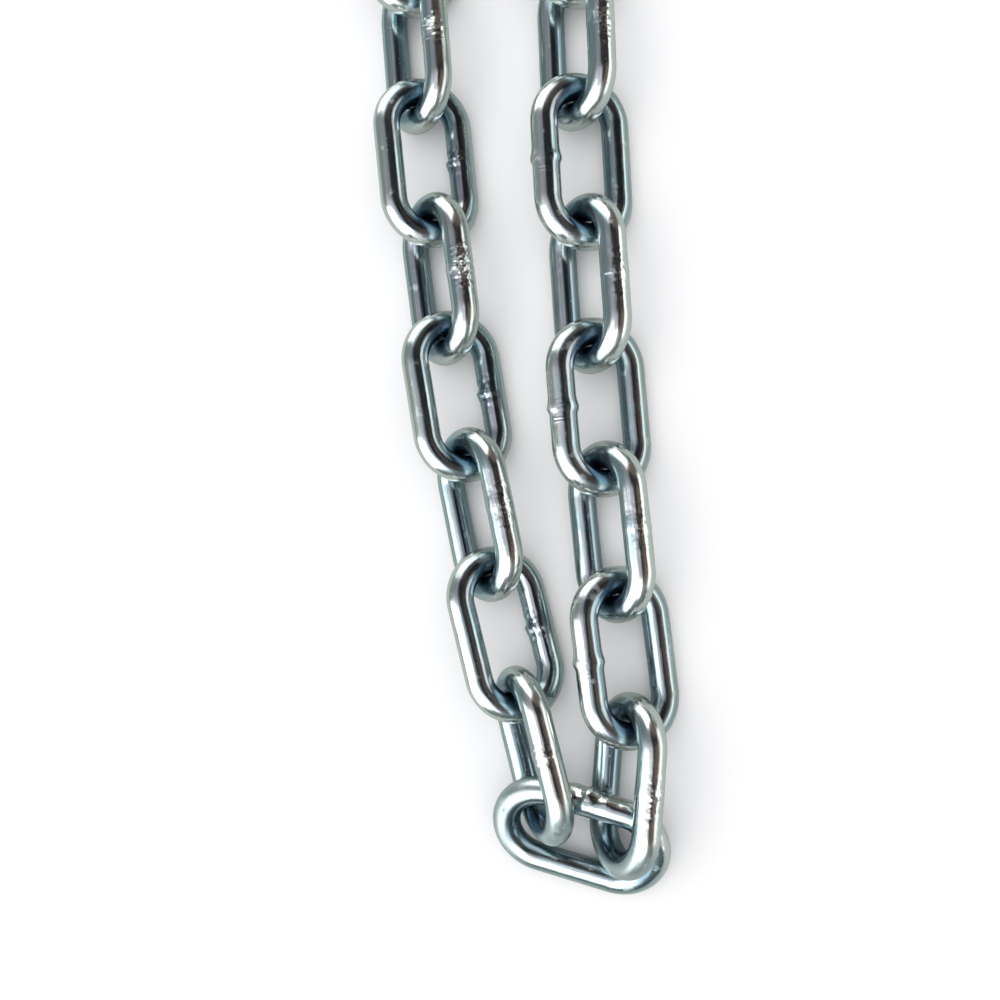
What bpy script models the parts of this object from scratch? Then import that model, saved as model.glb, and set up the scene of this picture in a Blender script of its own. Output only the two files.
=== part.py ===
"""One metre of zinc-plated, welded short-link steel chain, laid doubled in a U on a level floor.

Every link is one closed ring of round bar. Lying on a floor, the chain rests on the lower side bar of
each link, and the links lean over to either side in turn, a little flatter than a quarter turn from the
next. One link, the turn link, lies across the bottom of the U, and a strand of links runs away along +Y
from each half of its inner bar.

A link's own frame has its length along Y, its width along X and its centre at the origin. Each link of
a strand hangs from the one before it through an empty, its hinge, whose own X is the axis it swings about.
"""

import math

import bpy
from mathutils import Matrix, Vector
from mathutils.geometry import intersect_line_line

# Driving dimensions of one link, of the kind sold as quarter inch proof coil chain.
BAR = 0.0070
INSIDE_LENGTH = 0.0315
OUTSIDE_WIDTH = 0.0267

# Fifteen links to each strand and the turn link make 31 links, one metre of chain.
SIDES = ("left", "right")
LINKS_PER_STRAND = 15

# Left between the bars of two linked links at their crowns. The facets of the round ends lie a little
# inside the round bar, so the solids themselves are 0.3 mm apart there.
GAP = 0.0002

# Facets of the bar's section and of each round end.
BAR_SIDES = 16
BOW_STEPS = 6

# How the chain lies, in degrees. A heading turns a link away from +Y, positive to the left, and every
# second link is rolled to the other side. The turn link's inner bar is tilted up and its right end dips.
# A strand's heading fades out with this power of what is left of its length.
TURN_HEADING = -13.6
TURN_TILT = 20.4
TURN_DIP = 4.5
LINK_ROLL = 38.0
STRAND_HEADING = {"left": 14.5, "right": 7.0}
HEADING_FADE = 2.5

# The last link of each strand, which hangs in the turn link: where its middle lies from the turn link's
# middle, its heading, its steeper roll, which leaves room for the turn link's bar between its legs, and
# the distance from its middle to the next link's.
LAST_OFFSET = {"left": (-0.0112, 0.0198), "right": (0.0124, 0.0135)}
LAST_HEADING = {"left": 14.7, "right": -4.5}
LAST_ROLL = {"left": 53.7, "right": 46.8}
LAST_PITCH = {"left": 0.0309, "right": 0.0312}

# How far the last link's hinge lies from the middle of the turn link's bar, back along the last link.
# The left link, which lies closer to that bar, needs it to swing clear.
LAST_HINGE_BACK = {"left": 0.0010, "right": 0.0}
HINGE_SIZE = 0.010

ZINC_COLOUR = (0.62, 0.66, 0.69, 1.0)
ZINC_ROUGHNESS = 0.18

OUTSIDE_LENGTH = INSIDE_LENGTH + 2 * BAR
BOW_RADIUS = (OUTSIDE_WIDTH - BAR) / 2
LEG_HALF = (OUTSIDE_LENGTH - OUTSIDE_WIDTH) / 2
CROWN = LEG_HALF + BOW_RADIUS
PITCH = INSIDE_LENGTH - GAP


def clear_scene():
    """Removes what the startup scene holds."""
    for thing in list(bpy.data.objects):
        bpy.data.objects.remove(thing, do_unlink=True)


def new_collection(name):
    """A collection of this name, linked to the scene."""
    collection = bpy.data.collections.new(name)
    bpy.context.scene.collection.children.link(collection)
    return collection


def zinc(name):
    """Bright, slightly blue zinc plating."""
    material = bpy.data.materials.new(name)
    material.use_nodes = True
    shader = material.node_tree.nodes["Principled BSDF"]
    shader.inputs["Base Color"].default_value = ZINC_COLOUR
    shader.inputs["Metallic"].default_value = 1.0
    shader.inputs["Roughness"].default_value = ZINC_ROUGHNESS
    return material


def link_centre_line():
    """The closed line along the middle of a link's bar: two round ends, joined by two straight legs.

    Each end is drawn as straight steps that touch its circle at their middles, so the steps at the
    crowns and along the legs lie exactly where the real bar does.
    """
    turn = math.pi / BOW_STEPS
    corner_radius = BOW_RADIUS / math.cos(turn / 2)
    points = []
    for end in (1, -1):
        for step in range(BOW_STEPS):
            angle = turn * (step + 0.5)
            across = end * corner_radius * math.cos(angle)
            along = end * (LEG_HALF + corner_radius * math.sin(angle))
            points.append(Vector((across, along, 0.0)))
    return points


def link_curve():
    """A link as a curve with a round bevel, its flats one bar diameter apart.

    The bar is turned about its own line until one of its flats faces the floor that the link lies on.
    """
    curve = bpy.data.curves.new("link", "CURVE")
    curve.dimensions = "3D"
    curve.twist_mode = "Z_UP"
    curve.bevel_mode = "ROUND"
    curve.bevel_depth = BAR / 2 / math.cos(math.pi / BAR_SIDES)
    curve.bevel_resolution = (BAR_SIDES - 4) // 2
    line = link_centre_line()
    flat = 2 * math.pi / BAR_SIDES
    turned = flat / 2 - math.radians(LINK_ROLL) % flat
    spline = curve.splines.new("POLY")
    spline.points.add(len(line) - 1)
    for point, place in zip(spline.points, line):
        point.co = (*place, 1.0)
        point.tilt = turned
    spline.use_cyclic_u = True
    return curve


def heading_vector(heading):
    """The level direction that a link with this heading runs along, away from the turn link."""
    return Matrix.Rotation(math.radians(heading), 3, "Z") @ Vector((0.0, 1.0, 0.0))


def on_floor(place, surface):
    """This place, raised or lowered until the lowest of the link's surface points is on the floor."""
    lowest = min((place @ point).z for point in surface)
    return Matrix.Translation((0.0, 0.0, -lowest)) @ place


def lying(middle, heading, roll, surface):
    """The place of a link that lies on the floor along this heading, rolled about its length."""
    turned = Matrix.Rotation(math.radians(heading), 4, "Z")
    rolled = Matrix.Rotation(math.radians(roll), 4, "Y")
    return on_floor(Matrix.Translation(middle) @ turned @ rolled, surface)


def turn_link_place(surface):
    """The turn link lies across the U, with its outer bar on the floor and its inner bar raised."""
    headed = Matrix.Rotation(math.radians(TURN_HEADING), 4, "Z")
    dipped = Matrix.Rotation(math.radians(TURN_DIP), 4, "Y")
    tilted = Matrix.Rotation(math.radians(TURN_TILT), 4, "X")
    along_x = Matrix.Rotation(math.radians(-90.0), 4, "Z")
    return on_floor(headed @ dipped @ tilted @ along_x, surface)


def strand_places(side, surface):
    """The places of one strand's links, from the turn link outwards."""
    heading = LAST_HEADING[side]
    middle = Vector((*LAST_OFFSET[side], 0.0))
    places = [lying(middle, heading, -LAST_ROLL[side], surface)]
    for index in range(1, LINKS_PER_STRAND):
        before = heading
        left_over = (LINKS_PER_STRAND - index) / (LINKS_PER_STRAND - 1)
        heading = STRAND_HEADING[side] * left_over**HEADING_FADE
        pitch = PITCH if index > 1 else LAST_PITCH[side]
        middle = middle + pitch / 2 * (heading_vector(before) + heading_vector(heading))
        roll = LINK_ROLL if index % 2 else -LINK_ROLL
        places.append(lying(middle, heading, roll, surface))
    return places


def link_name(side, number):
    """Links are numbered along each strand, from the one that hangs in the turn link."""
    return f"link_{side}_{number:02d}"


def chain_places(surface):
    """Every link's name and place, with the turn link first."""
    places = {"turn_link": turn_link_place(surface)}
    for side in SIDES:
        for number, place in enumerate(strand_places(side, surface), start=1):
            places[link_name(side, number)] = place
    return places


def floor_middle(places, surface):
    """The point on the floor below the middle of the whole chain's box."""
    points = [place @ point for place in places.values() for point in surface]
    middles = [(min(axis) + max(axis)) / 2 for axis in zip(*points)]
    return Vector((middles[0], middles[1], 0.0))


def surface_points(curve):
    """The corner points of a link's faceted surface, in its own frame."""
    sample = bpy.data.objects.new("sample", curve)
    mesh = sample.to_mesh()
    points = [vertex.co.copy() for vertex in mesh.vertices]
    sample.to_mesh_clear()
    bpy.data.objects.remove(sample)
    return points


def last_link_hinge(side, turn_place, link_place):
    """The hinge on the turn link's inner bar, where the last link's middle line passes nearest to it.

    The last link swings in its own plane, so its hinge's X is the link's Z, turned to point away from it.
    """
    bar_ends = [turn_place @ Vector((-BOW_RADIUS, along, 0.0)) for along in (-LEG_HALF, LEG_HALF)]
    back, front = (link_place @ Vector((0.0, along, 0.0)) for along in (-CROWN, CROWN))
    on_bar, _ = intersect_line_line(*bar_ends, back, front)
    middle = on_bar - LAST_HINGE_BACK[side] * (front - back).normalized()
    turned = link_place.to_3x3() @ Matrix.Rotation(math.radians(90.0), 3, "Y")
    return Matrix.Translation(middle) @ turned.to_4x4()


def crown_hinge(holder_place):
    """The hinge inside the far crown of the link before, with its X across that link."""
    return holder_place @ Matrix.Translation((0.0, CROWN, 0.0))


def add_object(collection, name, data, place, holder=None, holder_place=Matrix.Identity(4)):
    """A new object at this place in the world, as a child of its holder."""
    thing = bpy.data.objects.new(name, data)
    collection.objects.link(thing)
    thing.parent = holder
    thing.matrix_local = holder_place.inverted() @ place
    return thing


def hang_strand(side, turn_link, places, curve, collection):
    """Adds one strand, each link on its hinge and each hinge on the link before."""
    holder, holder_place = turn_link, places["turn_link"]
    for number in range(1, LINKS_PER_STRAND + 1):
        place = places[link_name(side, number)]
        if number == 1:
            hinge_place = last_link_hinge(side, holder_place, place)
        else:
            hinge_place = crown_hinge(holder_place)
        hinge_name = f"hinge_{side}_{number:02d}"
        hinge = add_object(collection, hinge_name, None, hinge_place, holder, holder_place)
        hinge.empty_display_size = HINGE_SIZE
        holder = add_object(collection, link_name(side, number), curve, place, hinge, hinge_place)
        holder_place = place


def main():
    """Builds the chain, with its origin on the floor below the middle of its box."""
    clear_scene()
    collection = new_collection("steel_chain")
    curve = link_curve()
    curve.materials.append(zinc("bright_zinc"))
    surface = surface_points(curve)
    places = chain_places(surface)
    to_origin = Matrix.Translation(-floor_middle(places, surface))
    places = {name: to_origin @ place for name, place in places.items()}
    turn_link = add_object(collection, "turn_link", curve, places["turn_link"])
    for side in SIDES:
        hang_strand(side, turn_link, places, curve, collection)


main()
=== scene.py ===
"""Dresses one metre of bright zinc-plated welded steel chain, which lies doubled in a U on a pale floor.

Each link of the frame is one closed ring of round bar. Here it is replaced by a ring as it comes from the
chain maker: bent from drawn bar and closed by a weld in the middle of one leg, with the weld's bead, burrs
and grip marks. Every link has the same finish, bright zinc with a pale blue passivation.

A link's own axes are x across it, towards its upper leg, y along it and z square to its plane, with its
middle at the origin. Lengths are in metres.
"""

import logging
import math
from dataclasses import dataclass, field
from enum import Enum
from typing import Any, Callable

import bmesh
import bpy
import numpy as np
from mathutils import Euler, Matrix, Vector


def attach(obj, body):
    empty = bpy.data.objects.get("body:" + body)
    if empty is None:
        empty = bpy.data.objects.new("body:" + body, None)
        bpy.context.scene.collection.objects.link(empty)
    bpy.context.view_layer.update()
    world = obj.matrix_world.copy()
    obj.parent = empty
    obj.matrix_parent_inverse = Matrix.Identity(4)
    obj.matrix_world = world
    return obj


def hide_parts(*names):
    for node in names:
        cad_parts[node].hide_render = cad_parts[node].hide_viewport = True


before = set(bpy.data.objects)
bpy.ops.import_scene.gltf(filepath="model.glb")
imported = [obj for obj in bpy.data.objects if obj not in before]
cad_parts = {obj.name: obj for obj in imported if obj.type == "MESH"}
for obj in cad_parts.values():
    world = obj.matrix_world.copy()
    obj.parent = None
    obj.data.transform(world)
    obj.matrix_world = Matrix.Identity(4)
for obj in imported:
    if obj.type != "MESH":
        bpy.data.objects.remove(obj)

MILLIMETRE = 0.001
ZINC_SLOT = "bright_zinc"

# The burrs' pattern is pulled apart into separate blobs by this contrast and intensity.
BLOB_CONTRAST = (2.0, 1.3)

# A point whose weight would be less than this stays out of its vertex group.
LEAST_WEIGHT = 0.001

Colour = tuple[float, float, float, float]

log = logging.getLogger("steel_chain")


class Signal:
    """The output of a shader node, on which arithmetic adds Math nodes."""

    def __init__(self, graph: "Graph", socket: bpy.types.NodeSocket) -> None:
        """Wraps one output socket.

        Args:
            graph: The node tree that the socket is in.
            socket: The output.
        """
        self.graph = graph
        self.socket = socket

    def __add__(self, other: "Signal | float") -> "Signal":
        """This plus the other."""
        return self.graph.maths("ADD", self, other)

    def __radd__(self, other: float) -> "Signal":
        """The other plus this."""
        return self.graph.maths("ADD", other, self)

    def __sub__(self, other: "Signal | float") -> "Signal":
        """This less the other."""
        return self.graph.maths("SUBTRACT", self, other)

    def __rsub__(self, other: float) -> "Signal":
        """The other less this."""
        return self.graph.maths("SUBTRACT", other, self)

    def __mul__(self, other: "Signal | float") -> "Signal":
        """This times the other."""
        return self.graph.maths("MULTIPLY", self, other)

    def __rmul__(self, other: float) -> "Signal":
        """The other times this."""
        return self.graph.maths("MULTIPLY", other, self)

    def step(self, start: float, full: float) -> "Signal":
        """A smooth rise from 0 where this is at the start to 1 where it is full."""
        inputs = {"Value": self, "From Min": start, "From Max": full}
        return self.graph.add("ShaderNodeMapRange", {"interpolation_type": "SMOOTHSTEP"}, inputs)


class Graph:
    """A node tree that is built by calls."""

    def __init__(self, tree: bpy.types.NodeTree) -> None:
        """Empties the tree.

        Args:
            tree: A material's or a world's node tree.
        """
        self.tree = tree
        self.tree.nodes.clear()

    def node(self, kind: str, settings: dict[str, Any], inputs: dict[str | int, Any]) -> bpy.types.Node:
        """Adds a node.

        Args:
            kind: The node's type, such as ShaderNodeMath.
            settings: Values of the node's own properties, set before its sockets.
            inputs: Links or values of its input sockets, by name or number.

        Returns:
            The new node.
        """
        made = self.tree.nodes.new(kind)
        for name, value in settings.items():
            setattr(made, name, value)
        for name, value in inputs.items():
            if isinstance(value, Signal):
                self.tree.links.new(value.socket, made.inputs[name])
            else:
                made.inputs[name].default_value = value
        return made

    def add(
        self,
        kind: str,
        settings: dict[str, Any],
        inputs: dict[str | int, Any],
        output: str | int = 0,
    ) -> Signal:
        """Adds a node and gives one of its outputs.

        Args:
            kind: The node's type.
            settings: Values of the node's own properties.
            inputs: Links or values of its input sockets.
            output: The output's name or number.

        Returns:
            That output.
        """
        return Signal(self, self.node(kind, settings, inputs).outputs[output])

    def maths(self, operation: str, *values: "Signal | float") -> Signal:
        """A Math node's result for these values."""
        return self.add("ShaderNodeMath", {"operation": operation}, dict(enumerate(values)))

    def mix(self, factor: Signal, low: Signal | Colour, high: Signal | Colour) -> Signal:
        """The colour low where the factor is 0, turning to high where it is 1."""
        inputs = {0: factor, 6: low, 7: high}
        return self.add("ShaderNodeMix", {"data_type": "RGBA"}, inputs, 2)

    def stretched(self, vector: Signal, scale: tuple[float, float, float]) -> Signal:
        """A vector times this scale, axis by axis."""
        return self.add("ShaderNodeVectorMath", {"operation": "MULTIPLY"}, {0: vector, 1: scale})

    def noise(self, vector: Signal, scale: float, detail: float = 2.0) -> Signal:
        """Cloudy noise, about 0.5 in the mean, at this many lumps to the vector's unit."""
        inputs = {"Vector": vector, "Scale": scale, "Detail": detail}
        return self.add("ShaderNodeTexNoise", {}, inputs, "Fac")


@dataclass(frozen=True)
class LinkPlace:
    """Where a link of the frame lies, measured on its solid.

    Attributes:
        node: The link's node.
        placed: From the link's own axes to the frame's.
    """

    node: str
    placed: Matrix

    @classmethod
    def of_node(cls, node: str) -> "LinkPlace":
        """Measures one node.

        Args:
            node: The link's node.

        Returns:
            Its place, with x towards its upper leg.
        """
        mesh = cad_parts[node].data
        points = np.empty(len(mesh.vertices) * 3)
        mesh.vertices.foreach_get("co", points)
        # Its triangles are loose, so points that lie within 0.1 micrometres of each other count once.
        points = np.unique(points.reshape(-1, 3).round(7), axis=0)
        middle = points.mean(axis=0)
        # The directions are in order of spread: square to the link's plane, across it and along it.
        _, directions = np.linalg.eigh(np.cov((points - middle).T))
        across, along = Vector(directions[:, 1]), Vector(directions[:, 2])
        across = across if across.z > 0 else -across
        along = along if along.x + along.y > 0 else -along
        turned = Matrix((across, along, across.cross(along))).transposed()
        return cls(node, Matrix.Translation(Vector(middle)) @ turned.to_4x4())


@dataclass(frozen=True)
class RingShape:
    """The driving sizes of a link, and the line that its bar follows.

    Attributes:
        bar: The bar's diameter.
        inside_length: The hole's length.
        outside_width: The link's width over both legs.
    """

    bar: float = 7.0 * MILLIMETRE
    inside_length: float = 31.5 * MILLIMETRE
    outside_width: float = 26.7 * MILLIMETRE

    @property
    def bow_radius(self) -> float:
        """Radius of the bar's middle line round each end."""
        return (self.outside_width - self.bar) / 2

    @property
    def leg_half(self) -> float:
        """Half the length of a straight leg."""
        return (self.inside_length + self.bar) / 2 - self.bow_radius

    def along_bar(self, point: Vector) -> tuple[float, float, float]:
        """Where a point lies on the bar.

        Args:
            point: A point of the link's surface, in the link's own axes.

        Returns:
            How far it lies outwards of the bar's middle line, how far above the link's plane, and how far
            along the bar from the middle of the leg at positive x.
        """
        beyond = abs(point.y) - self.leg_half
        if beyond > 0:
            turn = math.atan2(beyond, point.x)
            outwards = math.hypot(point.x, beyond) - self.bow_radius
            return outwards, point.z, self.leg_half + self.bow_radius * turn
        outwards = abs(point.x) - self.bow_radius
        if point.x > 0:
            return outwards, point.z, abs(point.y)
        return outwards, point.z, 2 * self.leg_half + math.pi * self.bow_radius - abs(point.y)


@dataclass(frozen=True)
class WeldLook:
    """How the weld of a link came out.

    Attributes:
        name: What this look is called.
        bead_height: How far the bead round the joint stands proud.
        bead_slopes: How wide the bead's two slopes are along the bar, towards negative and positive y.
        bead_facing: The angle round the bar, in degrees from outwards, where the bead is highest.
        bead_lobes: 1 where it is high on that side alone, 2 where it is so on the far side too.
        bead_fade: How sharply it fades round the bar from there, as a power.
        burr_height: How far the burrs beside the bead stand proud.
        burr_reach: How far along the bar the burrs reach, each way.
        burr_facing: The angle round the bar, in degrees, that the burrs face.
        burr_lump: How large the burrs are.
        grip_marks: Where the marks of the welding clamp are, along the bar.
        grip_height: How far those stand proud.
        grain: How rough the zinc is there, from 0 to 1.
        pattern: Shifts the pattern of burrs and dents, so that no two looks are alike.
    """

    name: str
    bead_height: float
    bead_slopes: tuple[float, float]
    bead_facing: float
    bead_lobes: int
    bead_fade: int
    burr_height: float
    burr_reach: float
    burr_facing: float
    burr_lump: float
    grip_marks: tuple[float, ...]
    grip_height: float
    grain: float
    pattern: float


class Weld(Enum):
    """The weld looks that the chain's links show."""

    RINGED = WeldLook(
        name="ringed",
        bead_height=0.24 * MILLIMETRE,
        bead_slopes=(0.3 * MILLIMETRE, 2.2 * MILLIMETRE),
        bead_facing=60.0,
        bead_lobes=1,
        bead_fade=2,
        burr_height=0.12 * MILLIMETRE,
        burr_reach=4.6 * MILLIMETRE,
        burr_facing=75.0,
        burr_lump=1.4 * MILLIMETRE,
        grip_marks=(-2.9 * MILLIMETRE, -2.2 * MILLIMETRE),
        grip_height=0.10 * MILLIMETRE,
        grain=0.7,
        pattern=0.01,
    )
    BURRED = WeldLook(
        name="burred",
        bead_height=0.10 * MILLIMETRE,
        bead_slopes=(0.4 * MILLIMETRE, 2.4 * MILLIMETRE),
        bead_facing=60.0,
        bead_lobes=1,
        bead_fade=1,
        burr_height=0.08 * MILLIMETRE,
        burr_reach=7.5 * MILLIMETRE,
        burr_facing=-20.0,
        burr_lump=1.2 * MILLIMETRE,
        grip_marks=(-4.4 * MILLIMETRE, 3.8 * MILLIMETRE),
        grip_height=0.04 * MILLIMETRE,
        grain=0.4,
        pattern=0.05,
    )
    PITTED = WeldLook(
        name="pitted",
        bead_height=0.20 * MILLIMETRE,
        bead_slopes=(2.4 * MILLIMETRE, 0.9 * MILLIMETRE),
        bead_facing=110.0,
        bead_lobes=1,
        bead_fade=1,
        burr_height=0.18 * MILLIMETRE,
        burr_reach=6.6 * MILLIMETRE,
        burr_facing=10.0,
        burr_lump=1.2 * MILLIMETRE,
        grip_marks=(4.7 * MILLIMETRE,),
        grip_height=0.12 * MILLIMETRE,
        grain=1.0,
        pattern=0.09,
    )
    BUMPED = WeldLook(
        name="bumped",
        bead_height=0.50 * MILLIMETRE,
        bead_slopes=(1.0 * MILLIMETRE, 1.6 * MILLIMETRE),
        bead_facing=26.0,
        bead_lobes=2,
        bead_fade=1,
        burr_height=0.03 * MILLIMETRE,
        burr_reach=3.0 * MILLIMETRE,
        burr_facing=-12.0,
        burr_lump=0.9 * MILLIMETRE,
        grip_marks=(-3.6 * MILLIMETRE, -2.7 * MILLIMETRE),
        grip_height=0.12 * MILLIMETRE,
        grain=0.6,
        pattern=0.13,
    )
    TOOTHED = WeldLook(
        name="toothed",
        bead_height=0.46 * MILLIMETRE,
        bead_slopes=(0.7 * MILLIMETRE, 1.6 * MILLIMETRE),
        bead_facing=168.0,
        bead_lobes=1,
        bead_fade=4,
        burr_height=0.16 * MILLIMETRE,
        burr_reach=5.0 * MILLIMETRE,
        burr_facing=185.0,
        burr_lump=1.8 * MILLIMETRE,
        grip_marks=(-3.6 * MILLIMETRE,),
        grip_height=0.05 * MILLIMETRE,
        grain=0.4,
        pattern=0.17,
    )
    FACETED = WeldLook(
        name="faceted",
        bead_height=0.55 * MILLIMETRE,
        bead_slopes=(1.6 * MILLIMETRE, 2.4 * MILLIMETRE),
        bead_facing=-10.0,
        bead_lobes=1,
        bead_fade=2,
        burr_height=0.50 * MILLIMETRE,
        burr_reach=8.5 * MILLIMETRE,
        burr_facing=12.0,
        burr_lump=4.2 * MILLIMETRE,
        grip_marks=(-4.2 * MILLIMETRE, 5.0 * MILLIMETRE),
        grip_height=0.10 * MILLIMETRE,
        grain=0.2,
        pattern=0.21,
    )


class Pattern(Enum):
    """What a surface is raised by: an even rise, soft clouds or round blobs side by side."""

    EVEN = ""
    CLOUDS = "CLOUDS"
    BLOBS = "VORONOI"


def pick_edges(mesh: bpy.types.Mesh, wanted: Callable[[Vector, Vector], bool]) -> None:
    """Selects the edges whose two ends pass a test, and nothing else.

    Args:
        mesh: The mesh in edit mode.
        wanted: The test.
    """
    bpy.ops.mesh.select_mode(type="EDGE")
    bpy.ops.mesh.select_all(action="DESELECT")
    shape = bmesh.from_edit_mesh(mesh)
    for edge in shape.edges:
        edge.select_set(wanted(edge.verts[0].co, edge.verts[1].co))
    bmesh.update_edit_mesh(mesh)


def pick_points(mesh: bpy.types.Mesh, wanted: Callable[[Vector], bool]) -> None:
    """Selects the points that pass a test, and nothing else.

    Args:
        mesh: The mesh in edit mode.
        wanted: The test.
    """
    bpy.ops.mesh.select_mode(type="VERT")
    bpy.ops.mesh.select_all(action="DESELECT")
    shape = bmesh.from_edit_mesh(mesh)
    for point in shape.verts:
        point.select_set(wanted(point.co))
    shape.select_flush_mode()
    bmesh.update_edit_mesh(mesh)


@dataclass
class WeldedLink:
    """Models one link in its own axes, with its weld on the leg at positive x.

    Attributes:
        shape: The line that the bar follows.
        look: How its weld came out.
        sides: Points round the bar.
        bow_steps: Steps round both ends together.
        leg_cuts: Cuts along each leg.
        weld_cuts: Cuts of each of those steps near the weld.
        bead_back: How high the bead is across from its highest side, as a share.
        burr_spread: How far the burrs reach round the bar each way, in degrees.
        blob_height: How high the burrs' blobs are, as a share of the burrs' height.
        cloud_size: How wide the clouds under the blobs are, as a share of a blob.
        mark_width: How wide a clamp mark is along the bar.
        mark_back: How high a mark is across from the burrs, as a share.
        mark_lump: How large the lumps along a mark are.
        dent_height: How uneven the bent bar is.
        dent_lump: How wide its dents are.
        model: The link, from the first step of the modelling on.
    """

    shape: RingShape
    look: WeldLook
    sides: int = 64
    bow_steps: int = 72
    leg_cuts: int = 19
    weld_cuts: int = 5
    bead_back: float = 0.04
    burr_spread: float = 112.5
    blob_height: float = 1.4
    cloud_size: float = 1.5
    mark_width: float = 0.20 * MILLIMETRE
    mark_back: float = 0.15
    mark_lump: float = 1.2 * MILLIMETRE
    dent_height: float = 0.05 * MILLIMETRE
    dent_lump: float = 3.0 * MILLIMETRE
    model: bpy.types.Object = field(init=False)

    def build(self) -> bpy.types.Object:
        """Models the link.

        Returns:
            The link, centred on the origin.
        """
        self._bend_bar()
        self._cut_legs()
        self._raise_weld()
        self._mark_places()
        bpy.ops.object.shade_smooth()
        return self.model

    def _bend_bar(self) -> None:
        """Starts from a torus and draws its two halves apart, which leaves the legs between them."""
        bpy.ops.object.select_all(action="DESELECT")
        bpy.ops.mesh.primitive_torus_add(
            location=(0.0, 0.0, 0.0),
            rotation=(0.0, 0.0, math.pi / self.bow_steps),
            major_segments=self.bow_steps,
            minor_segments=self.sides,
            major_radius=self.shape.bow_radius,
            minor_radius=self.shape.bar / 2,
        )
        bpy.ops.object.transform_apply(rotation=True)
        self.model = bpy.context.active_object
        self.model.name = f"{self.look.name}_link"
        bpy.ops.object.mode_set(mode="EDIT")
        for end in (1, -1):
            pick_points(self.model.data, lambda point: point.y * end > 0)
            bpy.ops.transform.translate(value=(0.0, end * self.shape.leg_half, 0.0))
        bpy.ops.object.mode_set(mode="OBJECT")

    def _cut_legs(self) -> None:
        """Cuts the long faces of the legs into even rings, which lie closer together near the weld."""
        near_weld = max(abs(place) for place in (*self.look.grip_marks, self.look.burr_reach)) + MILLIMETRE
        shortest_step = 0.3 * MILLIMETRE
        bpy.ops.object.mode_set(mode="EDIT")
        pick_edges(self.model.data, lambda one, other: one.y * other.y < 0)
        bpy.ops.mesh.subdivide(number_cuts=self.leg_cuts)

        def runs_near_weld(one: Vector, other: Vector) -> bool:
            """Whether an edge runs along the welded leg and not round it, near its middle."""
            along = abs(one.y - other.y) > shortest_step
            return along and min(one.x, other.x) > 0 and max(abs(one.y), abs(other.y)) < near_weld

        pick_edges(self.model.data, runs_near_weld)
        bpy.ops.mesh.subdivide(number_cuts=self.weld_cuts)
        bpy.ops.object.mode_set(mode="OBJECT")

    def _weigh(self, name: str, weight: Callable[[float, float], float]) -> None:
        """Adds a vertex group whose weight follows the place on the welded leg.

        Args:
            name: The group's name.
            weight: The weight at a distance along the bar from the leg's middle and an angle round it.
        """
        group = self.model.vertex_groups.new(name=name)
        for point in self.model.data.vertices:
            if point.co.x <= 0 or abs(point.co.y) > self.shape.leg_half:
                continue
            angle = math.atan2(point.co.z, point.co.x - self.shape.bow_radius)
            value = weight(point.co.y, angle)
            if value > LEAST_WEIGHT:
                group.add([point.index], min(value, 1.0), "REPLACE")

    def _displace(
        self,
        height: float,
        group: str = "",
        pattern: Pattern = Pattern.EVEN,
        lump: float = MILLIMETRE,
        middle: float = 0.5,
    ) -> None:
        """Raises the surface along its normals and applies the result.

        Args:
            height: The height from the pattern's lowest to its highest, or less than 0 to turn it over.
            group: The vertex group that holds it, or none for all of the link.
            pattern: What it is raised by.
            lump: The size of the pattern's clouds or blobs.
            middle: The pattern's value that leaves the surface where it is.
        """
        raised = self.model.modifiers.new("raised", "DISPLACE")
        raised.strength = height
        raised.mid_level = middle
        raised.vertex_group = group
        if pattern is Pattern.EVEN:
            bpy.ops.object.modifier_apply(modifier=raised.name)
            return
        texture = bpy.data.textures.new("pattern", pattern.value)
        texture.noise_scale = lump
        if pattern is Pattern.BLOBS:
            texture.contrast, texture.intensity = BLOB_CONTRAST
        shifted = bpy.data.objects.new("pattern", None)
        shifted.location = (self.look.pattern, 0.0, self.look.pattern)
        bpy.context.scene.collection.objects.link(shifted)
        bpy.context.view_layer.update()
        raised.texture = texture
        raised.texture_coords = "OBJECT"
        raised.texture_coords_object = shifted
        bpy.ops.object.modifier_apply(modifier=raised.name)
        bpy.data.objects.remove(shifted)
        bpy.data.textures.remove(texture)

    def _raise_weld(self) -> None:
        """Raises the bead, the clamp marks and the burrs, and then the unevenness of the whole bar."""
        look = self.look

        def hump(distance: float, width: float) -> float:
            """1 at no distance, fading evenly both ways over about this width."""
            return math.exp(-((distance / width) ** 2))

        def bead(along: float, angle: float) -> float:
            """Highest at the joint, and on the side or sides that it faces."""
            turned = (angle - math.radians(look.bead_facing)) * look.bead_lobes
            facing = self.bead_back + (1.0 - self.bead_back) * (1.0 + math.cos(turned)) / 2
            slope = look.bead_slopes[0] if along < 0 else look.bead_slopes[1]
            return facing**look.bead_fade * hump(along, slope)

        def burr_side(angle: float) -> float:
            """Highest on the side that the burrs face, and 0 across from it."""
            turned = (angle - math.radians(look.burr_facing) + math.pi) % (2 * math.pi) - math.pi
            return math.cos(min(1.0, abs(turned) / math.radians(self.burr_spread)) * math.pi / 2) ** 2

        def marks(along: float, angle: float) -> float:
            """A narrow ridge at each clamp mark, highest on the burrs' side."""
            ridge = max(hump(along - mark, self.mark_width) for mark in look.grip_marks)
            return ridge * (self.mark_back + (1.0 - self.mark_back) * burr_side(angle))

        def burrs(along: float, angle: float) -> float:
            """Strongest beside the joint, and fading along and round the bar."""
            return burr_side(angle) * max(0.0, 1.0 - (along / look.burr_reach) ** 2)

        self._weigh("bead", bead)
        self._weigh("marks", marks)
        self._weigh("burrs", burrs)
        self._displace(look.bead_height, "bead", middle=0.0)
        self._displace(look.grip_height, "marks", Pattern.CLOUDS, self.mark_lump, middle=0.2)
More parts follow.
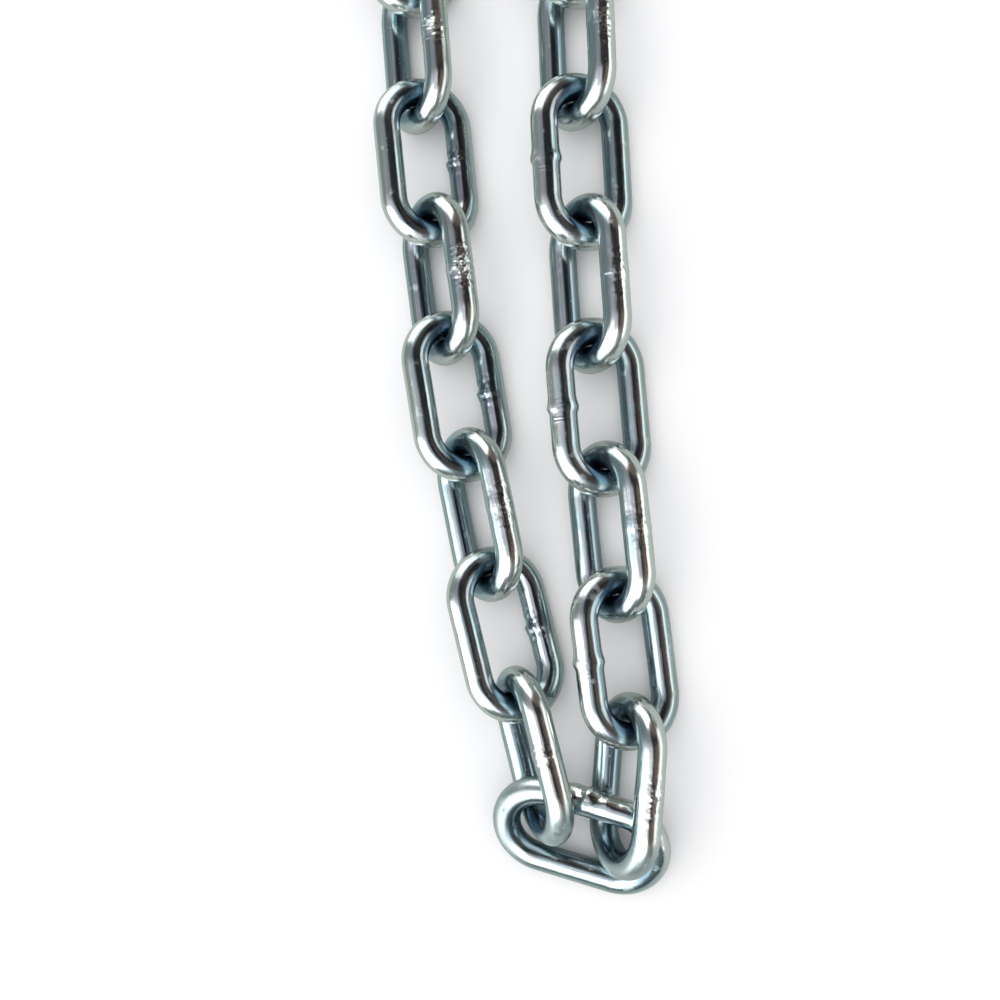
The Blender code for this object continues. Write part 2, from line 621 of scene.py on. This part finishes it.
        # The blobs' pattern is lowest at their middles, so it is turned over.
        blobs = -self.blob_height * look.burr_height
        self._displace(blobs, "burrs", Pattern.BLOBS, look.burr_lump, middle=1.0)
        self._displace(look.burr_height, "burrs", Pattern.CLOUDS, self.cloud_size * look.burr_lump)
        self._displace(self.dent_height, "", Pattern.CLOUDS, self.dent_lump)

    def _mark_places(self) -> None:
        """Stores where each point lies on the bar, and how near it is to the weld, for the finish."""
        mesh = self.model.data
        marks = self.model.vertex_groups["marks"].index
        places, welds = [], []
        for point in mesh.vertices:
            places.extend(self.shape.along_bar(point.co))
            weight = max((held.weight for held in point.groups if held.group != marks), default=0.0)
            welds.append(self.look.grain * weight)
        mesh.attributes.new("bar_place", "FLOAT_VECTOR", "POINT").data.foreach_set("vector", places)
        mesh.attributes.new("weld", "FLOAT", "POINT").data.foreach_set("value", welds)
        self.model.vertex_groups.clear()


class BarSurface:
    """The signals that the zinc is mixed from, at each point of a link's bar.

    The patterns, from lines to grains, are noise of about 0.5 in the mean. The places, from
    crown_painted_shade to rough_weld, are 1 and fade to 0 round them.

    Attributes:
        lines: Fine lines drawn along the bar.
        streaks: Wider streaks along it.
        ripples: Short ripples along it.
        clouds: Clouds a little wider than the bar.
        patches: Patches narrower than the bar.
        grains: Fine grain.
        outwards: How far the point lies outwards of the bar's middle line, in metres.
        crown_painted_shade: Painted shade on the inside of the crowns, where neighbouring links crowd the
            bar.
        worn: The outside of the bows that are rubbed dull.
        scuffs: Scuffed spots, of which the crowns' outsides have the most.
        rough_weld: The rough zinc at the weld.
    """

    def __init__(self, graph: Graph, crown_place: float) -> None:
        """Reads the link's own attributes and lays the patterns along its bar.

        Args:
            graph: The material's node tree.
            crown_place: How far along the bar each crown is from the weld.
        """
        bar = graph.add("ShaderNodeAttribute", {"attribute_name": "bar_place"}, {}, "Vector")
        weld = graph.add("ShaderNodeAttribute", {"attribute_name": "weld"}, {}, "Fac")
        rubbed = graph.add("ShaderNodeAttribute", {"attribute_name": "worn"}, {}, "Fac")
        spot = graph.add("ShaderNodeTexCoord", {}, {}, "Object")

        def drawn(scale: float, detail: float, along: float) -> Signal:
            """Noise drawn out along the bar, with this share of its lumps there."""
            return graph.noise(graph.stretched(bar, (1.0, 1.0, along)), scale, detail)

        self.lines = drawn(scale=2400.0, detail=3.0, along=0.02)
        self.streaks = drawn(scale=700.0, detail=2.0, along=0.06)
        self.ripples = drawn(scale=600.0, detail=2.0, along=0.5)
        self.clouds = graph.noise(spot, scale=110.0, detail=3.0)
        self.patches = graph.noise(spot, scale=260.0, detail=4.0)
        self.grains = graph.noise(spot, scale=2600.0, detail=2.0)

        place = graph.node("ShaderNodeSeparateXYZ", {}, {"Vector": bar}).outputs
        self.outwards = Signal(graph, place["X"])
        from_crown = graph.maths("ABSOLUTE", Signal(graph, place["Z"]) - crown_place)
        inside = self.outwards.step(start=2.0 * MILLIMETRE, full=-0.3 * MILLIMETRE)
        outside = self.outwards.step(start=0.0, full=2.0 * MILLIMETRE)
        # Painted shade: the inside of each crown is darkened to navy, where the neighbouring links crowd
        # it.
        self.crown_painted_shade = from_crown.step(start=10.0 * MILLIMETRE, full=5.0 * MILLIMETRE) * inside
        self.worn = rubbed * self.outwards.step(start=-2.0 * MILLIMETRE, full=1.0 * MILLIMETRE)
        crown = from_crown.step(start=12.0 * MILLIMETRE, full=4.0 * MILLIMETRE) * outside
        self.scuffs = (self.patches + 0.5 * self.streaks + 0.10 * crown).step(start=0.90, full=1.06)
        self.rough_weld = (weld * (self.patches + 0.35)).step(start=0.25, full=0.75)


@dataclass(frozen=True)
class Tint:
    """A colour that is laid over another one where a signal is strong.

    Attributes:
        colour: The colour.
        start: The signal's value where it begins to show.
        full: The signal's value where it is strongest.
        share: How much of the colour below it hides there, from 0 to 1.
    """

    colour: Colour
    start: float
    full: float
    share: float = 1.0

    def over(self, graph: Graph, below: Signal | Colour, signal: Signal) -> Signal:
        """The colour below, with this one laid over it where the signal is strong."""
        return graph.mix(self.share * signal.step(self.start, self.full), below, self.colour)


@dataclass(frozen=True)
class BrightZinc:
    """Bright zinc over drawn bar: mirror-like between fine lines, scuffed at the bows, rough at the weld.

    The mauve, the green and the shade follow noise of about 0.5 in the mean, so how far from that they
    start sets how much of the bar they cover. The pale painted light and the painted shade follow how far
    outwards a point lies.

    Attributes:
        blue: The passivation's usual tint.
        mauve: Its tint where the film is thinner.
        green: Its tint where the film is thicker.
        shade: Its tint in the drawn lines.
        pale: Painted light on the outside of the ring, a paler tint that stands in for the bright floor it
            mirrors.
        painted_inner_shade: Painted shade on the inside of the ring, a deep navy tint, strongest at the
            crowns.
        painted_shade_share_at_crowns: How much of the other tints the painted shade hides inside the
            crowns, from 0 to 1.
        chalk: The dull zinc of scuffs and of the weld.
        scuff_chalk: How much of the film the chalk hides at scuffs.
        weld_chalk: How much of the film the chalk hides at the weld.
        dull: The dull zinc of the worn bows.
        crown_place: How far along the bar each crown is from the weld.
        polish: Roughness of the bare bright zinc.
        scuffed: Roughness of the scuffs.
        drawn: Added roughness in the drawn lines, where they are strongest.
        cast: Added roughness at the weld.
        rubbed: Added roughness of the worn bows.
        relief: Depth that the shares below are taken of.
        relief_strength: How strongly it shows, from 0 to 1.
        line_relief: The drawn lines' share.
        streak_relief: The streaks' share.
        ripple_relief: The ripples' share.
        grain_relief: The grain's share on clean zinc.
        scuff_relief: What scuffs add to that.
        weld_relief: What the weld adds to that.
    """

    blue: Colour = (0.455, 0.585, 0.61, 1.0)
    mauve: Tint = Tint((0.565, 0.58, 0.60, 1.0), start=0.42, full=0.62)
    green: Tint = Tint((0.485, 0.615, 0.575, 1.0), start=0.50, full=0.66)
    shade: Tint = Tint((0.34, 0.42, 0.46, 1.0), start=0.49, full=0.62, share=0.8)
    # Painted light: the outside of the bar is lightened, as if it mirrored the bright floor.
    pale: Tint = Tint((0.80, 0.82, 0.77, 1.0), start=1.6 * MILLIMETRE, full=3.3 * MILLIMETRE, share=0.85)
    # Painted shade: the inside of the bar is darkened to navy.
    painted_inner_shade: Tint = Tint((0.13, 0.205, 0.265, 1.0), start=-1.8 * MILLIMETRE, full=-3.3 * MILLIMETRE, share=0.5)
    painted_shade_share_at_crowns: float = 0.85
    chalk: Colour = (0.70, 0.74, 0.73, 1.0)
    scuff_chalk: float = 0.6
    weld_chalk: float = 0.4
    dull: Colour = (0.47, 0.54, 0.54, 1.0)
    crown_place: float = 24.9 * MILLIMETRE
    polish: float = 0.12
    scuffed: float = 0.40
    drawn: float = 0.32
    cast: float = 0.08
    rubbed: float = 0.36
    relief: float = 0.10 * MILLIMETRE
    relief_strength: float = 0.4
    line_relief: float = 0.8
    streak_relief: float = 0.7
    ripple_relief: float = 0.6
    grain_relief: float = 0.12
    scuff_relief: float = 0.25
    weld_relief: float = 1.2

    def material(self) -> bpy.types.Material:
        """Makes the finish.

        Returns:
            The material, which reads the links' attributes bar_place, weld and, where there is one, worn.
        """
        made = bpy.data.materials.new(ZINC_SLOT)
        made.use_nodes = True
        graph = Graph(made.node_tree)
        surface = BarSurface(graph, self.crown_place)
        inputs = {
            "Base Color": self._colour(graph, surface),
            "Metallic": 1.0,
            "Roughness": self._roughness(surface),
            "Normal": self._relief(graph, surface),
        }
        shader = graph.add("ShaderNodeBsdfPrincipled", {}, inputs)
        graph.node("ShaderNodeOutputMaterial", {}, {"Surface": shader})
        return made

    def _colour(self, graph: Graph, surface: BarSurface) -> Signal:
        """Lays the film's tints one over the other, then painted light and shade, and the dull zinc where
        the film is gone.

        Args:
            graph: The material's node tree.
            surface: The patterns and places on the bar.

        Returns:
            The colour.
        """
        tint = self.mauve.over(graph, self.blue, surface.clouds)
        tint = self.green.over(graph, tint, surface.streaks)
        tint = self.shade.over(graph, tint, surface.lines)
        # Painted light on the outside of the bar, then painted shade on its inside and inside the crowns.
        tint = self.pale.over(graph, tint, surface.outwards)
        tint = self.painted_inner_shade.over(graph, tint, surface.outwards)
        tint = graph.mix(self.painted_shade_share_at_crowns * surface.crown_painted_shade, tint, self.painted_inner_shade.colour)
        chalky = self.scuff_chalk * surface.scuffs + self.weld_chalk * surface.rough_weld
        colour = graph.mix(chalky, tint, self.chalk)
        return graph.mix(surface.worn, colour, self.dull)

    def _roughness(self, surface: BarSurface) -> Signal:
        """Starts from the polish and roughens the drawn lines, the scuffs, the weld and the worn bows.

        Args:
            surface: The patterns and places on the bar.

        Returns:
            The roughness.
        """
        roughness = self.polish + self.drawn * surface.lines * surface.streaks
        roughness = roughness + (self.scuffed - self.polish) * surface.scuffs
        roughness = roughness + self.cast * surface.rough_weld
        return roughness + self.rubbed * surface.worn * surface.patches

    def _relief(self, graph: Graph, surface: BarSurface) -> Signal:
        """Draws the lines along the bar and the zinc's grain, which is strong at scuffs and at the weld.

        Args:
            graph: The material's node tree.
            surface: The patterns and places on the bar.

        Returns:
            The normal.
        """
        lines = self.line_relief * surface.lines + self.streak_relief * surface.streaks
        ripples = self.ripple_relief * surface.ripples
        coarseness = self.grain_relief + self.scuff_relief * surface.scuffs
        coarseness = coarseness + self.weld_relief * surface.rough_weld
        height = lines + ripples + coarseness * surface.grains
        inputs = {"Strength": self.relief_strength, "Distance": self.relief, "Height": height}
        return graph.add("ShaderNodeBump", {}, inputs)


class Chain:
    """All the links, each in place of its solid and riding on its own body.

    Attributes:
        WORN: The links whose bow at negative y is rubbed dull. At the bottom of the U these are the turn
            link's left bow and the last links' near bows.
        WEAR_START: How far from a link's middle its worn bow begins.
        WEAR_FADE: Over what length beyond that it turns fully dull.
        places: Where each link lies, by its node.
        shape: The sizes that all links share.
        finish: Their material.
        models: The links modelled so far, one for each weld look.
    """

    WORN = ("turn_link", "link_left_01", "link_right_01")
    WEAR_START = 10.0 * MILLIMETRE
    WEAR_FADE = 6.0 * MILLIMETRE

    def __init__(self) -> None:
        """Finds every link's place in the frame."""
        self.places = {node: LinkPlace.of_node(node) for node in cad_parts}
        self.shape = RingShape()
        self.finish = BrightZinc().material()
        self.models: dict[Weld, bpy.types.Object] = {}

    def model(self, weld: Weld) -> bpy.types.Object:
        """Gives the link with this weld look, which is modelled when it is first asked for.

        Args:
            weld: The weld look.

        Returns:
            The link in its own axes.
        """
        if weld not in self.models:
            self.models[weld] = WeldedLink(self.shape, weld.value).build()
            log.info("modelled the %s link", weld.value.name)
        return self.models[weld]

    @staticmethod
    def weld_of(node: str) -> tuple[Weld, bool]:
        """Which weld look a link has, and on which leg.

        Args:
            node: The link's node.

        Returns:
            The look, and whether the weld is on the upper leg.
        """
        if node == "turn_link":
            return Weld.FACETED, True
        _, side, number = node.split("_")
        if int(number) % 2 == 0:
            return (Weld.TOOTHED, False) if side == "left" else (Weld.BUMPED, True)
        if side == "right":
            return Weld.BURRED, True
        in_turn = (Weld.RINGED, Weld.BURRED, Weld.PITTED)
        return in_turn[int(number) // 2 % len(in_turn)], True

    def _wear(self, mesh: bpy.types.Mesh) -> None:
        """Stores how far each point is rubbed dull: not at all on the legs, and fully at the worn crown.

        Args:
            mesh: The link's mesh, in the link's own axes.
        """
        depths = [(-point.co.y - self.WEAR_START) / self.WEAR_FADE for point in mesh.vertices]
        mesh.attributes.new("worn", "FLOAT", "POINT").data.foreach_set("value", np.clip(depths, 0.0, 1.0))

    def dress(self) -> None:
        """Puts a finished link in place of each solid."""
        for node, place in self.places.items():
            weld, upper = self.weld_of(node)
            link = bpy.data.objects.new(f"{node}_bar", self.model(weld).data.copy())
            bpy.context.scene.collection.objects.link(link)
            turned = Matrix.Identity(4) if upper else Matrix.Rotation(math.pi, 4, "Z")
            if node in self.WORN:
                self._wear(link.data)
            link.data.transform(place.placed @ turned)
            link.data.materials.clear()
            link.data.materials.append(self.finish)
            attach(link, node)
            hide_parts(node)
        for model in self.models.values():
            bpy.data.objects.remove(model)
        log.info("dressed %d links", len(self.places))


@dataclass(frozen=True)
class Lamp:
    """A soft lamp that points at the chain.

    Attributes:
        name: What it is called.
        lean: Degrees from overhead towards the right.
        front: Degrees from overhead towards the viewer.
        distance: How far away it is.
        size: Its width across and its length along the chain.
        brightness: Its radiance, where the lit white floor's is about 1.
        mirrored: Whether it shows in reflections, or else lights the floor.
    """

    name: str
    lean: float
    front: float
    distance: float
    size: tuple[float, float]
    brightness: float
    mirrored: bool = True

    def hang(self, target: Vector) -> None:
        """Hangs the lamp.

        Args:
            target: The point that it faces.
        """
        light = bpy.data.lights.new(self.name, "AREA")
        light.shape = "RECTANGLE"
        light.size, light.size_y = self.size
        light.energy = self.brightness * math.pi * self.size[0] * self.size[1]
        lamp = bpy.data.objects.new(self.name, light)
        turned = Euler((math.radians(self.front), math.radians(self.lean), 0.0), "XYZ").to_matrix()
        place = target + turned @ Vector((0.0, 0.0, self.distance))
        lamp.matrix_world = Matrix.Translation(place) @ turned.to_4x4()
        lamp.visible_camera = False
        lamp.visible_glossy = self.mirrored
        lamp.visible_diffuse = not self.mirrored
        bpy.context.scene.collection.objects.link(lamp)


class Outlook:
    """A direction that is looked in, and its parts, each from -1 to 1.

    Attributes:
        graph: The world's node tree.
        direction: The direction.
        side: Its part to the right.
        far: Its part away from the viewer.
        up: Its part upwards.
    """

    def __init__(self, graph: Graph) -> None:
        """Takes the direction apart.

        Args:
            graph: The world's node tree.
        """
        self.graph = graph
        self.direction = graph.add("ShaderNodeTexCoord", {}, {}, "Generated")
        parts = graph.node("ShaderNodeSeparateXYZ", {}, {"Vector": self.direction}).outputs
        self.side, self.far, self.up = (Signal(graph, parts[name]) for name in "XYZ")


@dataclass(frozen=True)
class DarkPatch:
    """The dark patch up on the right of the room, which gives each bar the dark stripe along it.

    Attributes:
        tilt: How far from overhead its two rounds are, in degrees.
        turns: How far round from the right to the far side each round is, in degrees.
        edges: Degrees from a round's middle where it begins and where it is fully dark.
        ragged: How ragged its edge is.
        dark: Its colour.
        brown: Its colour lower down, but for a gap in the middle.
        brown_top: The part upwards where the brown begins and where it is full.
        brown_ragged: How ragged the brown's top is.
        gap: The part away from the viewer at the middle of the gap.
        gap_edges: How far from there the brown begins and where it is full.
    """

    tilt: float = 45.0
    turns: tuple[float, float] = (0.0, 50.0)
    edges: tuple[float, float] = (36.0, 29.0)
    ragged: float = 0.10
    dark: Colour = (0.005, 0.009, 0.012, 1.0)
    brown: Colour = (0.150, 0.105, 0.092, 1.0)
    brown_top: tuple[float, float] = (0.92, 0.82)
    brown_ragged: float = 0.15
    gap: float = 0.36
    gap_edges: tuple[float, float] = (0.06, 0.20)

    def over(self, look: Outlook, room: Signal) -> Signal:
        """Lays the patch over the room.

        Args:
            look: The direction that is looked in.
            room: The room's colour there.

        Returns:
            The colour with the patch.
        """
        graph = look.graph
        uneven = self.brown_ragged * graph.noise(look.direction, scale=6.0)
        low = (look.up + uneven).step(*self.brown_top)
        beside_gap = graph.maths("ABSOLUTE", look.far - self.gap).step(*self.gap_edges)
        patch = graph.mix(low * beside_gap, self.dark, self.brown)
        return graph.mix(self._inside(look), room, patch)

    def _inside(self, look: Outlook) -> Signal:
        """Whether a direction is in the patch.

        Args:
            look: The direction that is looked in.

        Returns:
            1 in either round and 0 outside both.
        """
        graph = look.graph
        uneven = self.ragged * graph.noise(look.direction, scale=4.0, detail=3.0)
        # The noise adds half its height in the mean, which the edges allow for.
        edges = [math.cos(math.radians(edge)) + self.ragged / 2 for edge in self.edges]
        rounds = []
        for turn in self.turns:
            turned = Euler((0.0, math.radians(self.tilt), math.radians(turn))).to_matrix()
            inputs = {0: look.direction, 1: turned @ Vector((0.0, 0.0, 1.0))}
            facing = graph.add("ShaderNodeVectorMath", {"operation": "DOT_PRODUCT"}, inputs, "Value")
            rounds.append((facing + uneven).step(*edges))
        return graph.maths("MAXIMUM", *rounds)


@dataclass(frozen=True)
class Room:
    """The pale room that the chain mirrors.

    Attributes:
        low_right: Its colour below the walls, on the right.
        low_left: The same on the left.
        low_seam: The part to the right where the first ends and where the second is full.
        walls: The walls' colour.
        walls_rise: The part upwards where the walls begin and where they are full.
        ceiling_far: The ceiling's colour beyond the chain.
        ceiling_near: The ceiling's colour on the viewer's side.
        ceiling_seam: The part away from the viewer where the first ends and where the second is full.
        ceiling_rise: The part upwards where the ceiling begins and where it is full.
        for_floor: The plain light that the floor gets instead.
        for_camera: What the camera sees beyond the floor.
    """

    low_right: Colour = (0.03, 0.05, 0.06, 1.0)
    low_left: Colour = (0.33, 0.41, 0.39, 1.0)
    low_seam: tuple[float, float] = (-0.3, -0.8)
    walls: Colour = (0.20, 0.24, 0.245, 1.0)
    walls_rise: tuple[float, float] = (-0.1, 0.5)
    ceiling_far: Colour = (0.33, 0.318, 0.35, 1.0)
    ceiling_near: Colour = (0.80, 0.76, 0.84, 1.0)
    ceiling_seam: tuple[float, float] = (0.28, 0.04)
    ceiling_rise: tuple[float, float] = (0.5, 0.9)
    for_floor: Colour = (0.99, 1.00, 1.00, 1.0)
    for_camera: Colour = (0.95, 0.95, 0.95, 1.0)

    def build(self) -> None:
        """Makes the room and its dark patch the scene's world."""
        world = bpy.data.worlds.new("room")
        world.use_nodes = True
        bpy.context.scene.world = world
        graph = Graph(world.node_tree)
        look = Outlook(graph)
        low = graph.mix(look.side.step(*self.low_seam), self.low_right, self.low_left)
        walls = graph.mix(look.up.step(*self.walls_rise), low, self.walls)
        ceiling = graph.mix(look.far.step(*self.ceiling_seam), self.ceiling_far, self.ceiling_near)
        room = graph.mix(look.up.step(*self.ceiling_rise), walls, ceiling)
        room = DarkPatch().over(look, room)
        path = graph.node("ShaderNodeLightPath", {}, {}).outputs
        room = graph.mix(Signal(graph, path["Is Diffuse Ray"]), room, self.for_floor)
        seen = graph.mix(Signal(graph, path["Is Camera Ray"]), room, self.for_camera)
        background = graph.add("ShaderNodeBackground", {}, {"Color": seen})
        graph.node("ShaderNodeOutputWorld", {}, {"Surface": background})


@dataclass(frozen=True)
class Studio:
    """The pale floor, the soft light and the camera.

    Attributes:
        floor_size: The floor's side.
        floor_seen: The floor's colour where the camera sees it.
        floor_mirrored: Its colour where the chain mirrors it and where it throws light back.
        camera_offset: From the turn link's middle to the floor point at the middle of the picture.
        camera_lean: The camera's lean to the right of overhead, in degrees.
        camera_back: Its lean towards the viewer, in degrees.
        camera_distance: From that floor point to the camera.
        lens: The focal length, in millimetres.
        lamps: The lamps.
    """

    floor_size: float = 6.0
    floor_seen: Colour = (0.95, 0.94, 0.95, 1.0)
    floor_mirrored: Colour = (0.50, 0.54, 0.525, 1.0)
    camera_offset: tuple[float, float] = (-0.02342, 0.08418)
    camera_lean: float = 17.0
    camera_back: float = 2.2
    camera_distance: float = 0.317
    lens: float = 43.2
    lamps: tuple[Lamp, ...] = (
        Lamp("window", lean=-40.0, front=31.0, distance=0.80, size=(0.95, 0.87), brightness=2.4),
        Lamp("back_window", lean=-38.0, front=-60.0, distance=0.90, size=(1.00, 0.62), brightness=2.1),
        Lamp("front_window", lean=4.0, front=38.0, distance=0.90, size=(0.50, 0.55), brightness=1.8),
        Lamp("far_wall", lean=80.0, front=0.0, distance=0.90, size=(0.34, 1.20), brightness=1.6),
        Lamp(
            "ceiling", lean=0.0, front=0.0, distance=1.80, size=(2.40, 2.40), brightness=0.5, mirrored=False
        ),
    )

    def build(self, turn_link: Vector) -> None:
        """Sets up the studio.

        Args:
            turn_link: The middle of the turn link.
        """
        target = Vector((turn_link.x + self.camera_offset[0], turn_link.y + self.camera_offset[1], 0.0))
        self._floor()
        Room().build()
        for lamp in self.lamps:
            lamp.hang(target)
        self._camera(target)

    def _floor(self) -> None:
        """A plain, nearly white floor."""
        bpy.ops.object.select_all(action="DESELECT")
        bpy.ops.mesh.primitive_plane_add(size=self.floor_size)
        floor = bpy.context.active_object
        floor.name = "floor"
        paper = bpy.data.materials.new("white_floor")
        paper.use_nodes = True
        graph = Graph(paper.node_tree)
        from_camera = graph.add("ShaderNodeLightPath", {}, {}, "Is Camera Ray")
        colour = graph.mix(from_camera, self.floor_mirrored, self.floor_seen)
        shader = graph.add("ShaderNodeBsdfDiffuse", {}, {"Color": colour})
        graph.node("ShaderNodeOutputMaterial", {}, {"Surface": shader})
        floor.data.materials.append(paper)

    def _camera(self, target: Vector) -> None:
        """The camera, at the viewing angle of the photograph.

        Args:
            target: The floor point at the middle of the picture.
        """
        lean = math.tan(math.radians(self.camera_lean))
        towards_viewer = math.tan(math.radians(self.camera_back))
        back = Vector((lean, -towards_viewer, 1.0)).normalized()
        right = Vector((0.0, 1.0, 0.0)).cross(back).normalized()
        turned = Matrix((right, back.cross(right), back)).transposed()
        camera = bpy.data.objects.new("camera", bpy.data.cameras.new("camera"))
        camera.data.lens = self.lens
        camera.matrix_world = Matrix.Translation(target + self.camera_distance * back) @ turned.to_4x4()
        bpy.context.scene.collection.objects.link(camera)
        bpy.context.scene.camera = camera
        bpy.context.scene.view_settings.view_transform = "Standard"


def main() -> None:
    """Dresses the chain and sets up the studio."""
    logging.basicConfig(level=logging.INFO, format="%(message)s")
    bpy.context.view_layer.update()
    chain = Chain()
    chain.dress()
    Studio().build(chain.places["turn_link"].placed.translation)


if __name__ == "__main__":
    main()
